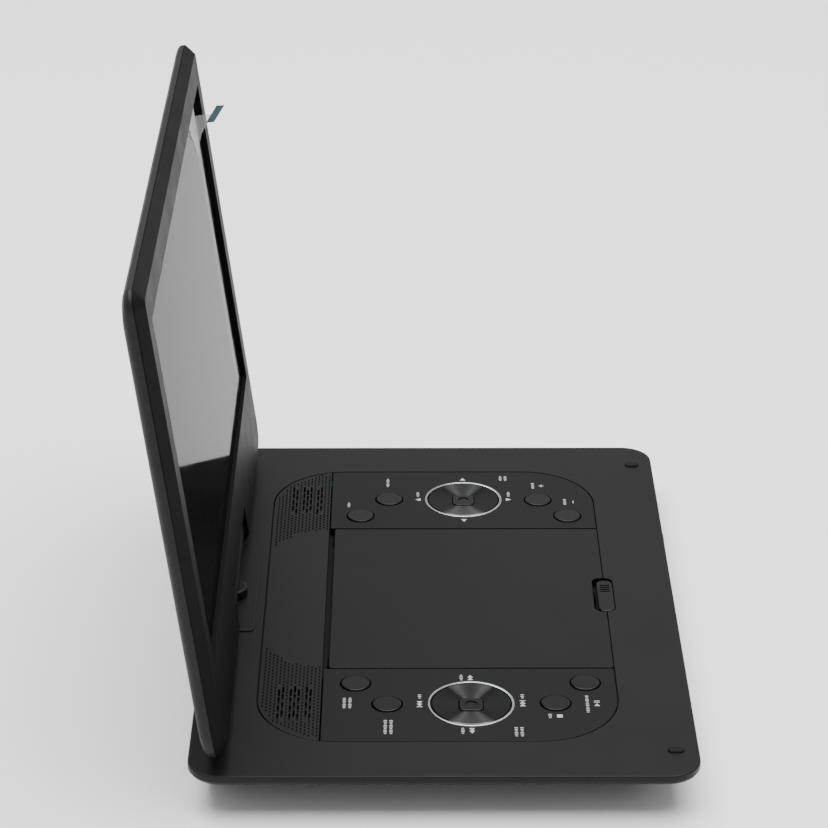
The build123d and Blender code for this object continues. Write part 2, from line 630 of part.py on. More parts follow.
with BuildPart() as turntable:
    for radius, z0, z1 in ((1.5, 6.4, 10.9), (12.0, 10.8, 13.0), (14.5, 13.0, 14.6), (7.4, 14.6, 18.2)):
        with BuildSketch(Plane.XY.offset(z0)):
            with Locations((0, DISC_Y)):
                Circle(radius)
        extrude(amount=z1 - z0)
    chamfer(turntable.edges().group_by(Axis.Z)[-1], length=1.2)
    # spring jaws of the hub
    with BuildSketch(Plane.XY.offset(16.0)):
        with Locations((0, DISC_Y)):
            with PolarLocations(7.3, 3):
                Rectangle(1.6, 2.6)
    extrude(amount=1.0)
    with BuildSketch(Plane.XY.offset(17.4)):
        with Locations((0, DISC_Y)):
            Circle(2.2)
    extrude(amount=1, mode=Mode.SUBTRACT)
    # rubber ring that the disc rests on
    with BuildSketch(Plane.XY.offset(14.6)):
        with Locations((0, DISC_Y)):
            Circle(14.2)
            Circle(9.5, mode=Mode.SUBTRACT)
    extrude(amount=0.4)
pieces["turntable_hub"] = turntable

LENS_X = SLED_X + SLED_W / 2

with BuildPart() as sled:
    with BuildSketch(Plane.XY.offset(6.5)):
        span(SLED_X, DISC_Y - SLED_D, SLED_X + SLED_W, DISC_Y + SLED_D)
        span(GEAR_X - 34, DISC_Y - SLED_D - 2, GEAR_X, DISC_Y - SLED_D + 0.5)
    extrude(amount=3.8)
    with BuildSketch(Plane.XY.offset(10.3)):
        with Locations((LENS_X, DISC_Y)):
            RectangleRounded(13, 13, 2)
    extrude(amount=0.9)
    for y in (DISC_Y - ROD_REACH, DISC_Y + ROD_REACH):
        with BuildSketch(Plane.YZ.offset(SLED_X - 1)):
            with Locations((y, ROD_Z)):
                Circle(ROD_R + 0.07)
        extrude(amount=SLED_W + 2, mode=Mode.SUBTRACT)
    # rack teeth, a half pitch off the gear's tooth
    with BuildSketch(Plane.XY.offset(7.0)):
        for n in range(-21, 0):
            with Locations((GEAR_X + (n + 0.5) * TOOTH_PITCH, DISC_Y - SLED_D - 2 - TOOTH_H / 2 + 0.05)):
                Rectangle(0.5, TOOTH_H + 0.1)
    extrude(amount=2.0)
pieces["laser_sled"] = sled

with BuildPart() as lens:
    with BuildSketch(Plane.XY.offset(11.2)):
        with Locations((LENS_X, DISC_Y)):
            Circle(3.6)
    extrude(amount=1.2)
    fillet(lens.edges().group_by(Axis.Z)[-1], radius=0.8)
pieces["laser_lens"] = lens

with BuildPart() as gear:
    with BuildSketch(Plane.XY.offset(7.2)):
        with Locations((GEAR_X, GEAR_Y)):
            Circle(GEAR_R - 0.55)
            with PolarLocations(GEAR_R - 0.35, 16, start_angle=90):
                Rectangle(1.1, 0.5)
            Circle(0.8, mode=Mode.SUBTRACT)
    extrude(amount=1.6)
pieces["sled_gear"] = gear

# ---------------------------------------------------------------- electronics in the base
with BuildPart() as main_board:
    with BuildSketch(Plane.XY.offset(5.6)):
        span(-126, -70, -30, 46)
    extrude(amount=1.6)
    with BuildSketch(Plane.XY.offset(FLOOR_Z)):
        with Locations((-78, -12)):
            with GridLocations(84, 104, 2, 2):
                Circle(2.5)
    extrude(amount=2.2)
    chips = (
        (-70, -30, 18, 18, 1.8),
        (-70, 5, 12, 18, 1.2),
        (-105, -40, 10, 14, 2.6),
        (-108, 10, 14, 20, 3.0),
    )
    for x, y, w, d, h in chips:
        with BuildSketch(Plane.XY.offset(7.2)):
            with Locations((x, y)):
                Rectangle(w, d)
        extrude(amount=h)
pieces["main_board"] = main_board

with BuildPart() as battery:
    with BuildSketch(Plane.XY.offset(FLOOR_Z)):
        with Locations((104, -16)):
            RectangleRounded(42, 100, 3)
    extrude(amount=9.0)
    fillet(battery.edges().group_by(Axis.Z)[-1], radius=1.5)
pieces["battery_pack"] = battery

SPEAKER_PLACES = [(s * 95, 69) for s in (LEFT, RIGHT)]

with BuildPart() as speakers:
    with BuildSketch(Plane.XY.offset(16.6)):
        with Locations(*SPEAKER_PLACES):
            RectangleRounded(36, 20, 4)
    extrude(amount=3.0)
    with BuildSketch(Plane.XY.offset(9.6)):
        with Locations(*SPEAKER_PLACES):
            Circle(8.5)
    extrude(amount=7.1)
    with BuildSketch(Plane.XY.offset(17.8)):
        with Locations(*SPEAKER_PLACES):
            SlotOverall(31, 15)
            SlotOverall(19, 6, mode=Mode.SUBTRACT)
    extrude(amount=2.0, mode=Mode.SUBTRACT)
pieces["speakers"] = speakers

PORT_BACK = BAY_X - 12.0

with BuildPart() as jacks:
    with BuildSketch(Plane.YZ.offset(PORT_BACK)):
        with Locations((DC_Y, PORT_Z)):
            Rectangle(8.2, 5.8)
    extrude(amount=12)
    with BuildSketch(Plane.YZ.offset(PORT_BACK + 2)):
        with Locations((DC_Y, PORT_Z)):
            Circle(2.75)
            Circle(0.65, mode=Mode.SUBTRACT)
    extrude(amount=10, mode=Mode.SUBTRACT)
    with BuildSketch(Plane.YZ.offset(PORT_BACK)):
        with Locations(*[(y, PORT_Z) for y in JACK_YS]):
            Rectangle(7.0, 5.8)
    extrude(amount=9.8)
    with BuildSketch(Plane.YZ.offset(PORT_BACK + 9.8)):
        with Locations(*[(y, PORT_Z) for y in JACK_YS]):
            Circle(2.9)
    extrude(amount=2.5)
    with BuildSketch(Plane.YZ.offset(PORT_BACK + 1)):
        with Locations(*[(y, PORT_Z) for y in JACK_YS]):
            Circle(1.8)
    extrude(amount=12, mode=Mode.SUBTRACT)
pieces["dc_and_av_jacks"] = jacks

with BuildPart() as usb_port:
    with BuildSketch(Plane.YZ.offset(PORT_BACK)):
        with Locations((USB_Y, PORT_Z)):
            Rectangle(13.1, 5.7)
    extrude(amount=12)
    with BuildSketch(Plane.YZ.offset(PORT_BACK + 1.5)):
        with Locations((USB_Y, PORT_Z)):
            Rectangle(12.5, 5.1)
        with Locations((USB_Y, PORT_Z + 0.6)):
            Rectangle(11.0, 1.8, mode=Mode.SUBTRACT)
    extrude(amount=10.5, mode=Mode.SUBTRACT)
pieces["usb_port"] = usb_port

BOARD2_Z = 18.25

with BuildPart() as port_board:
    with BuildSketch(Plane.XY.offset(BOARD2_Z)):
        span(127, BAY_FRONT + 4, BAY_X - BAY_WALL - 0.4, BAY_BACK - 4)
    extrude(amount=1.2)
    # card slot
    with BuildSketch(Plane.YZ.offset(PORT_BACK - 8)):
        span(CARD_Y - 14, PORT_Z - 2.1, CARD_Y + 14, BOARD2_Z)
    extrude(amount=17.8)
    with BuildSketch(Plane.YZ.offset(PORT_BACK - 6)):
        with Locations((CARD_Y, PORT_Z)):
            Rectangle(24.6, 2.4)
    extrude(amount=20, mode=Mode.SUBTRACT)
    # spindle of the volume wheel
    with BuildSketch(Plane.XY.offset(PORT_Z - 1.2)):
        with Locations((WHEEL_X, WHEEL_Y)):
            Circle(1.24)
    extrude(amount=BOARD2_Z - PORT_Z + 1.2)
pieces["port_board"] = port_board

SWITCH_X = BAY_X - BAY_WALL
with BuildPart() as power_switch:
    with BuildSketch(Plane.YZ.offset(SWITCH_X - 3.2)):
        with Locations((SWITCH_Y - 1.75, PORT_Z)):
            Rectangle(9.0, 4.2)
    extrude(amount=2.9)
    with BuildSketch(Plane.YZ.offset(SWITCH_X - 0.5)):
        with Locations((SWITCH_Y - 1.75, PORT_Z)):
            Rectangle(5.4, 2.2)
    extrude(amount=4.2)
    with BuildSketch(Plane.YZ.offset(SWITCH_X + 3.2)):
        with Locations((SWITCH_Y - 1.75, PORT_Z)):
            with GridLocations(1.5, 0, 3, 1):
                Rectangle(0.6, 2.2)
    extrude(amount=0.6, mode=Mode.SUBTRACT)
pieces["power_switch"] = power_switch

with BuildPart() as volume_wheel:
    with BuildSketch(Plane.XY.offset(PORT_Z - 1.2)):
        with Locations((WHEEL_X, WHEEL_Y)):
            Circle(WHEEL_R)
            with PolarLocations(WHEEL_R, 36):
                Circle(0.28, mode=Mode.SUBTRACT)
            Circle(1.3, mode=Mode.SUBTRACT)
    extrude(amount=2.4)
pieces["volume_wheel"] = volume_wheel

with BuildPart() as ir_window:
    with BuildSketch(Plane.XZ.offset(CASE_D / 2 - 2.4)):
        with Locations((IR_X, SPLIT_Z + 0.9)):
            Rectangle(6.8, 1.7)
    extrude(amount=2.7)
pieces["remote_window"] = ir_window

BUMPER_X, BUMPER_Y = 143.6, -103.3
with BuildPart() as bumpers:
    with BuildSketch(Plane.XY.offset(DECK_Z)):
        with Locations((BUMPER_X, BUMPER_Y), (-BUMPER_X, BUMPER_Y)):
            SlotOverall(7.4, 4.6, rotation=90)
    extrude(amount=0.9)
    fillet(bumpers.edges().group_by(Axis.Z)[-1], radius=0.6)
pieces["lid_bumpers"] = bumpers

# ---------------------------------------------------------------- swivel and hinge housing
SHAFT_R, SHAFT_BORE = 5.0, 3.2
TURRET_R = 7.5
TURRET_Z0, TURRET_Z1 = 24.6, 28.9
PIN2_R = 2.2
AXLE = Plane(origin=(0, HINGE_Y, HINGE_Z), x_dir=(0, 1, 0), z_dir=(1, 0, 0))  # across the tilt axis


def ring_on_swivel(outer, inner, z0, z1):
    """A flat ring around the swivel axis."""
    with BuildPart() as ring:
        with BuildSketch(Plane.XY.offset(z0)):
            with Locations((0, SWIVEL_Y)):
                Circle(outer)
                Circle(inner, mode=Mode.SUBTRACT)
        extrude(amount=z1 - z0)
    return ring


with BuildPart() as swivel_bracket:
    with BuildSketch(Plane.XY.offset(19.6)):
        with Locations((0, SWIVEL_Y - 1.7)):
            RectangleRounded(44, 16.4, 3)
        with Locations((0, SWIVEL_Y)):
            Circle(SHAFT_R + 0.06, mode=Mode.SUBTRACT)
    extrude(amount=1.6)
pieces["swivel_bracket"] = swivel_bracket
pieces["swivel_shaft"] = ring_on_swivel(SHAFT_R, SHAFT_BORE, 13.0, 26.0)
with BuildPart() as swivel_nut:
    with BuildSketch(Plane.XY.offset(14.2)):
        with Locations((0, SWIVEL_Y)):
            RegularPolygon(6.6, 6)
            Circle(SHAFT_R + 0.02, mode=Mode.SUBTRACT)
    extrude(amount=3.6)
    with BuildSketch(Plane.XY.offset(17.8)):
        with Locations((0, SWIVEL_Y)):
            Circle(6.4)
            Circle(SHAFT_R + 0.02, mode=Mode.SUBTRACT)
    extrude(amount=1.7)
pieces["swivel_nut"] = swivel_nut

with BuildPart() as turret:
    with BuildSketch(Plane.XY.offset(TURRET_Z0)):
        with Locations((0, SWIVEL_Y)):
            Circle(TURRET_R)
    extrude(amount=TURRET_Z1 - TURRET_Z0)
    fillet(turret.edges().group_by(Axis.Z)[-1], radius=1.2)

with BuildPart() as housing:
    with BuildSketch(AXLE.offset(-BARREL_W / 2)):
        Circle(BARREL_R)
    extrude(amount=BARREL_W)
    add(turret.part)
    with BuildSketch(AXLE.offset(-BARREL_W / 2 + 1.6)):
        Circle(BARREL_R - 2.0)
    extrude(amount=BARREL_W - 3.2, mode=Mode.SUBTRACT)
    with BuildSketch(AXLE.offset(-BARREL_W / 2)):
        Circle(PIN2_R + 0.06)
    extrude(amount=BARREL_W, mode=Mode.SUBTRACT)
    with BuildSketch(Plane.XY.offset(TURRET_Z0)):
        with Locations((0, SWIVEL_Y)):
            Circle(SHAFT_R + 0.02)
    extrude(amount=26.05 - TURRET_Z0, mode=Mode.SUBTRACT)
    with BuildSketch(Plane.XY.offset(TURRET_Z0)):
        with Locations((0, SWIVEL_Y)):
            Circle(SHAFT_BORE)
    extrude(amount=27.4 - TURRET_Z0, mode=Mode.SUBTRACT)
pieces["hinge_housing"] = housing


def on_tilt_axis(outer, inner, x0, x1):
    """Two rings or pins on the tilt axis, one each side."""
    with BuildPart() as pair:
        for x, width in both_sides(x0, x1):
            with BuildSketch(AXLE.offset(x)):
                Circle(outer)
                if inner:
                    Circle(inner, mode=Mode.SUBTRACT)
            extrude(amount=width)
    return pair


pieces["friction_clips"] = on_tilt_axis(4.6, PIN2_R + 0.05, 24.0, 38.0)
pieces["tilt_pins"] = on_tilt_axis(PIN2_R, 0, 19.0, 59.0)

with BuildPart() as brackets:
    for x, width in both_sides(50.0, 57.0):
        with BuildSketch(AXLE.offset(x)):
            Circle(4.2)
        extrude(amount=width)
    with BuildSketch(LID.offset(1.3)):
        for s in (LEFT, RIGHT):
            span(s * 50, 0, s * 57, 12)
            span(s * 50, 11, s * 74, 30)
    extrude(amount=2.0)
    with BuildSketch(AXLE.offset(-80)):
        Circle(PIN2_R + 0.02)
    extrude(amount=160, mode=Mode.SUBTRACT)
pieces["hinge_brackets"] = brackets

# ---------------------------------------------------------------- lid
LID_SCREWS = [(s * x, y) for s in (LEFT, RIGHT) for x, y in ((157.2, 60.0), (157.2, 160.0), (112.0, 4.0))]
LID_WALL = 2.0
SHOULDER_R, SHOULDER = 7.6, (47.6, 66.0)
GLASS_W, GLASS_H = WINDOW_W + 6.0, WINDOW_H + 6.0


def lid_shape(width, bottom, top, low_r, high_r):
    """A rectangle on the lid whose lower corners are rounder than its upper ones."""
    middle = (bottom + top) / 2
    with Locations((0, middle)):
        RectangleRounded(width, top - bottom, low_r)
    with Locations((0, (middle + top) / 2)):
        RectangleRounded(width, top - middle, high_r)


def lid_outline(inset=0.0):
    bottom, top = LID_BOTTOM + inset, LID_BOTTOM + CASE_D - inset
    lid_shape(CASE_W - 2 * inset, bottom, top, max(LID_LOW_R - inset, 3.0), max(LID_R - inset, 3.0))


def notch(grow=0.0, mode=Mode.ADD):
    """The opening at the lower edge that the hinge housing sits in."""
    span(-NOTCH_W / 2 - grow, LID_BOTTOM - 5, NOTCH_W / 2 + grow, NOTCH_TOP + grow, mode=mode)


def window(grow=0.0, mode=Mode.ADD):
    with Locations((0, WINDOW_MID)):
        RectangleRounded(WINDOW_W + 2 * grow, WINDOW_H + 2 * grow, 1.0 + grow, mode=mode)


BACK_EDGE, BACK_EDGE_TOP, BACK_EDGE_Z = 5.0, 12.0, 3.6  # where the back's rounding starts and ends
ROUNDING_STEPS = 6


def back_outline(turned):
    """The lid's outline where the rounding has turned by an angle in degrees."""
    inset = 1 - cos(radians(turned))
    bottom, top = LID_BOTTOM + BACK_EDGE * inset, LID_BOTTOM + CASE_D - BACK_EDGE_TOP * inset
    lid_shape(CASE_W - 2 * BACK_EDGE * inset, bottom, top, LID_LOW_R, LID_R)


with BuildPart() as back_cover:
    with BuildSketch(LID.offset(BACK_EDGE_Z)):
        lid_outline()
    extrude(amount=LID_SPLIT - BACK_EDGE_Z)
    for step in range(ROUNDING_STEPS):
        for turned in (90 * step / ROUNDING_STEPS, 90 * (step + 1) / ROUNDING_STEPS):
            with BuildSketch(LID.offset(BACK_EDGE_Z - (BACK_EDGE_Z - LID_BACK) * sin(radians(turned)))):
                back_outline(turned)
        loft(ruled=True)
    for x, width in both_sides(*SHOULDER):
        with BuildSketch(AXLE.offset(x)):
            Circle(SHOULDER_R)
        extrude(amount=width)
    with BuildSketch(LID.offset(LID_SPLIT)):
        lid_outline(inset=-5)
    extrude(amount=5, mode=Mode.SUBTRACT)
    with BuildSketch(LID.offset(LID_BACK - 8)):
        notch()
    extrude(amount=20, mode=Mode.SUBTRACT)
    with BuildSketch(LID.offset(LID_BACK + LID_WALL)):
        lid_shape(CASE_W - 6, LID_BOTTOM + 3, LID_BOTTOM + CASE_D - 6, LID_LOW_R - 3, LID_R - 3)
        notch(grow=LID_WALL, mode=Mode.SUBTRACT)
    extrude(amount=LID_SPLIT - LID_BACK, mode=Mode.SUBTRACT)
    for x, width in both_sides(SHOULDER[0] + 1.6, SHOULDER[1] - 1.6):
        with BuildSketch(AXLE.offset(x)):
            Circle(SHOULDER_R - 2.0)
        extrude(amount=width, mode=Mode.SUBTRACT)
    with BuildSketch(AXLE.offset(-60)):
        Circle(PIN2_R + 0.2)
    extrude(amount=120, mode=Mode.SUBTRACT)
    with BuildSketch(LID.offset(LID_BACK)):
        with Locations(*LID_SCREWS):
            Circle(2.4)
    extrude(amount=1.0, mode=Mode.SUBTRACT)
    with BuildSketch(LID.offset(LID_BACK)):
        with Locations(*LID_SCREWS):
            Circle(1.2)
    extrude(amount=LID_WALL, mode=Mode.SUBTRACT)
pieces["lid_back_cover"] = back_cover

with BuildPart() as bezel:
    with BuildSketch(LID.offset(LID_SPLIT)):
        lid_outline(inset=0.5)
    extrude(amount=0.4)
    with BuildSketch(LID.offset(LID_SPLIT + 0.4)):
        lid_outline()
    with BuildSketch(LID.offset(LID_FRONT)):
        lid_outline(inset=5.0)
    loft(ruled=True)
    with BuildSketch(LID.offset(LID_SPLIT)):
        window()
        notch()
    extrude(amount=LID_FRONT - LID_SPLIT, mode=Mode.SUBTRACT)
    # pocket behind the front sheet for the display
    with BuildSketch(LID.offset(LID_SPLIT)):
        span(-158, NOTCH_TOP + 3.2, 158, WINDOW_LOW + WINDOW_H + 9)
    extrude(amount=GLASS_FRONT + 0.1 - LID_SPLIT, mode=Mode.SUBTRACT)
    with BuildSketch(LID.offset(1.3)):
        with Locations(*LID_SCREWS):
            Circle(2.8)
    extrude(amount=GLASS_FRONT - 1.3 + 0.4)
    with BuildSketch(LID.offset(1.3)):
        with Locations(*LID_SCREWS):
            Circle(1.05)
    extrude(amount=6.2, mode=Mode.SUBTRACT)
pieces["lid_front_bezel"] = bezel

with BuildPart() as lid_screws:
    with BuildSketch(LID.offset(LID_BACK + 0.2)):
        with Locations(*LID_SCREWS):
            Circle(2.2)
    extrude(amount=0.8)
    with BuildSketch(LID.offset(LID_BACK + 1.0)):
        with Locations(*LID_SCREWS):
            Circle(1.0)
    extrude(amount=7.2)
pieces["lid_screws"] = lid_screws

with BuildPart() as lcd_panel:
    with BuildSketch(LID.offset(2.3)):
        with Locations((0, WINDOW_MID)):
            Rectangle(GLASS_W - 1.4, GLASS_H - 1.4)
    extrude(amount=GLASS_FRONT - 1.4 - 2.3)
    with BuildSketch(LID.offset(GLASS_FRONT - 1.4)):
        with Locations((0, WINDOW_MID)):
            Rectangle(GLASS_W, GLASS_H)
    extrude(amount=1.4)
pieces["lcd_panel"] = lcd_panel

with BuildPart() as lcd_frame:
    with BuildSketch(LID.offset(1.4)):
        with Locations((0, WINDOW_MID)):
            Rectangle(GLASS_W + 0.6, GLASS_H + 0.6)
    extrude(amount=GLASS_FRONT - 1.45 - 1.4)
    with BuildSketch(LID.offset(2.2)):
        with Locations((0, WINDOW_MID)):
            Rectangle(GLASS_W - 1.0, GLASS_H - 1.0)
    extrude(amount=GLASS_FRONT, mode=Mode.SUBTRACT)
pieces["lcd_frame"] = lcd_frame

with BuildPart() as lcd_board:
    with BuildSketch(LID.offset(1.4)):
        span(-43, NOTCH_TOP + 4, 43, NOTCH_TOP + 19)
    extrude(amount=1.2)
    with BuildSketch(LID.offset(2.6)):
        with Locations((-22, NOTCH_TOP + 11), (4, NOTCH_TOP + 11), (28, NOTCH_TOP + 11)):
            Rectangle(14, 9)
    extrude(amount=1.6)
pieces["lcd_board"] = lcd_board

FILM_LEFT, FILM_RIGHT, FILM_LOW, FILM_HIGH = -146.0, 119.0, 47.8, 199.5
with BuildPart() as film:
    with BuildSketch(LID.offset(GLASS_FRONT + 0.02)):
        span(FILM_LEFT, FILM_LOW, FILM_RIGHT, FILM_HIGH)
    extrude(amount=0.2)
pieces["protective_film"] = film

# ---------------------------------------------------------------- export
os.makedirs("parts", exist_ok=True)
for name, piece in pieces.items():
    piece.part.label = name
    export_step(piece.part, f"parts/{name}.step")
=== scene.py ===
import json
from math import cos, radians, sin

import bmesh
import bpy
from mathutils import Matrix, Vector


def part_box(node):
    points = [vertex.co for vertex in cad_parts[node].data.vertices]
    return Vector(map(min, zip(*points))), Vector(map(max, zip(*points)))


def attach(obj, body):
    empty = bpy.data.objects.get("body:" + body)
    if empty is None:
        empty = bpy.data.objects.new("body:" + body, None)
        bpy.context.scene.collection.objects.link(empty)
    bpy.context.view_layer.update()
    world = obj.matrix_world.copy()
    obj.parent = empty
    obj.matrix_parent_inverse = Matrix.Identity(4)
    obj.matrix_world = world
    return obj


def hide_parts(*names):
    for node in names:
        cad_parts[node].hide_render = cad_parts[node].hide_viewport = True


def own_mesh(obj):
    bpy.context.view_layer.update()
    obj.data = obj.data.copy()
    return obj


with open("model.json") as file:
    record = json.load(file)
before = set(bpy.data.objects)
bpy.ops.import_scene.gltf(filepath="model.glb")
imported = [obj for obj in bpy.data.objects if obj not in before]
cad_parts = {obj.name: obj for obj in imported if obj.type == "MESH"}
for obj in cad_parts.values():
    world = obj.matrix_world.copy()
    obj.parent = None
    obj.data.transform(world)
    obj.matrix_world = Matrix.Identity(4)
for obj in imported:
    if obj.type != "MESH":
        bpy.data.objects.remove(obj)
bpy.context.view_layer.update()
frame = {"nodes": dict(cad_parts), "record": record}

# Portable DVD player. Metres, in the frame of the CAD: +X to the user's right, +Y towards the hinge,
# +Z up, origin on the table under the middle of the base.

MM = 0.001


# ---------------------------------------------------------------- where things are
def low(node):
    return Vector(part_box(node)[0])


def high(node):
    return Vector(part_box(node)[1])


def middle(node):
    return (low(node) + high(node)) / 2


DECK_Z = high("left_control_panel").z
TILT = next(j for j in frame["record"]["behaviour"]["joints"] if j["name"] == "lid_tilt")
TILT_POS = Vector(TILT["pos_m"])
LEAN = radians(-TILT["range_deg"][0])  # how far the lid stands open
LID_UP = Vector((0, -cos(LEAN), sin(LEAN)))
LID_OUT = Vector((0, -sin(LEAN), -cos(LEAN)))


def on_lid(x, y, z):
    """A point in the lid's directions: x across, y up the lid from the tilt axis, z out of its front."""
    return TILT_POS + Vector((x, 0, 0)) + LID_UP * y + LID_OUT * z


def lid_coords(point):
    """The reverse of on_lid."""
    rel = Vector(point) - TILT_POS
    return rel.x, rel.dot(LID_UP), rel.dot(LID_OUT)


# ---------------------------------------------------------------- camera
camera_data = bpy.data.cameras.new("camera")
camera = bpy.data.objects.new("camera", camera_data)
bpy.context.collection.objects.link(camera)
bpy.context.scene.camera = camera
camera_data.sensor_width = 36.0
camera_data.lens = 129.0
camera_data.clip_end = 50.0
CAMERA_AT = (-1.27419, 0.01618, 0.72314)
CAMERA_DOWN, CAMERA_YAW = radians(25.276), radians(-0.143)
level = cos(CAMERA_DOWN)
forward = Vector((level * cos(CAMERA_YAW), level * sin(CAMERA_YAW), -sin(CAMERA_DOWN)))
rightward = forward.cross(Vector((0, 0, 1))).normalized()
upward = rightward.cross(forward)
turn = Matrix((rightward, upward, -forward)).transposed()
camera.matrix_world = Matrix.Translation(CAMERA_AT) @ turn.to_4x4()


# ---------------------------------------------------------------- materials
def new_material(name, color, rough, metal=0.0, **sockets):
    """A Principled material; extra keywords set its sockets by name."""
    mat = bpy.data.materials.new(name)
    mat.use_nodes = True
    shader = mat.node_tree.nodes["Principled BSDF"]
    shader.inputs["Base Color"].default_value = (*color, 1.0)
    shader.inputs["Roughness"].default_value = rough
    shader.inputs["Metallic"].default_value = metal
    for key, value in sockets.items():
        shader.inputs[key.replace("_", " ")].default_value = value
    return mat


def node(mat, kind, **settings):
    """A new shader node; each extra keyword sets a socket or, if there is none, a property."""
    made = mat.node_tree.nodes.new(kind)
    for key, value in settings.items():
        if key in made.inputs:
            made.inputs[key].default_value = value
        else:
            setattr(made, key, value)
    return made


def link(mat, start, end):
    mat.node_tree.links.new(start, end)


def place(mat):
    """The object's own coordinates, in metres."""
    return node(mat, "ShaderNodeTexCoord").outputs["Object"]


def noise(mat, scale, detail=3.0, rough=0.5, where=None):
    made = node(mat, "ShaderNodeTexNoise", Scale=scale, Detail=detail, Roughness=rough)
    link(mat, where or place(mat), made.inputs["Vector"])
    return made.outputs["Fac"]


NOISE_LOW, NOISE_HIGH = 0.3, 0.7  # most of a noise pattern's values lie between these


def vary_color(mat, fac, dark, light):
    """Base colour that runs from dark to light with a pattern."""
    ramp = node(mat, "ShaderNodeValToRGB")
    ramp.color_ramp.elements[0].position = NOISE_LOW
    ramp.color_ramp.elements[0].color = (*dark, 1)
    ramp.color_ramp.elements[1].position = NOISE_HIGH
    ramp.color_ramp.elements[1].color = (*light, 1)
    link(mat, fac, ramp.inputs["Fac"])
    link(mat, ramp.outputs["Color"], mat.node_tree.nodes["Principled BSDF"].inputs["Base Color"])


def vary_rough(mat, fac, lo, hi):
    """Roughness that runs from lo to hi with a pattern."""
    span = node(mat, "ShaderNodeMapRange")
    span.inputs["From Min"].default_value = NOISE_LOW
    span.inputs["From Max"].default_value = NOISE_HIGH
    span.inputs["To Min"].default_value = lo
    span.inputs["To Max"].default_value = hi
    link(mat, fac, span.inputs["Value"])
    link(mat, span.outputs["Result"], mat.node_tree.nodes["Principled BSDF"].inputs["Roughness"])


def bump(mat, height, distance):
    """Relief this deep from a pattern."""
    made = node(mat, "ShaderNodeBump", Strength=1.0, Distance=distance)
    link(mat, height, made.inputs["Height"])
    link(mat, made.outputs["Normal"], mat.node_tree.nodes["Principled BSDF"].inputs["Normal"])


def moulded(name, color, rough, grain=2200.0, depth=0.00002, **sockets):
    """Moulded plastic, rubber or glass: a fine grain, faint colour and gloss changes."""
    mat = new_material(name, color, rough, **sockets)
    broad = noise(mat, 9.0)
    vary_color(mat, broad, [c * 0.9 for c in color], [c * 1.1 for c in color])
    vary_rough(mat, noise(mat, 60.0), rough - 0.04, rough + 0.04)
    bump(mat, noise(mat, grain, 2.0), depth)
    return mat


def metal(name, color, rough, stretch=(40.0, 1400.0, 1400.0)):
    """Rolled or brushed metal, streaked along one direction."""
    mat = new_material(name, color, rough, 1.0)
    scaled = node(mat, "ShaderNodeMapping", vector_type="POINT")
    scaled.inputs["Scale"].default_value = stretch
    link(mat, place(mat), scaled.inputs["Vector"])
    streaks = noise(mat, 1.0, 3.0, 0.6, scaled.outputs["Vector"])
    vary_color(mat, streaks, [c * 0.86 for c in color], [min(1, c * 1.08) for c in color])
    vary_rough(mat, streaks, rough - 0.06, rough + 0.08)
    bump(mat, streaks, 0.00001)
    return mat


def circuit_board():
    """Green board: traces as a fine broken grid under the solder mask."""
    mat = new_material("circuit_board", (0.012, 0.09, 0.035), 0.35)
    bricks = node(mat, "ShaderNodeTexBrick", Scale=140.0)
    bricks.inputs["Mortar Size"].default_value = 0.03
    bricks.inputs["Color1"].default_value = (0.010, 0.085, 0.03, 1)
    bricks.inputs["Color2"].default_value = (0.014, 0.10, 0.04, 1)
    bricks.inputs["Mortar"].default_value = (0.03, 0.17, 0.07, 1)
    link(mat, place(mat), bricks.inputs["Vector"])
    link(mat, bricks.outputs["Color"], mat.node_tree.nodes["Principled BSDF"].inputs["Base Color"])
    bump(mat, bricks.outputs["Fac"], 0.00003)
    return mat


# cosines of the angles from the X axis at which the painted sheen of a spun disc ends and is strongest,
# and how bright it is on the axis
PAINTED_SHEEN_EDGE, PAINTED_SHEEN_PEAK, PAINTED_SHEEN_MIDDLE = 0.80, 0.935, 0.45


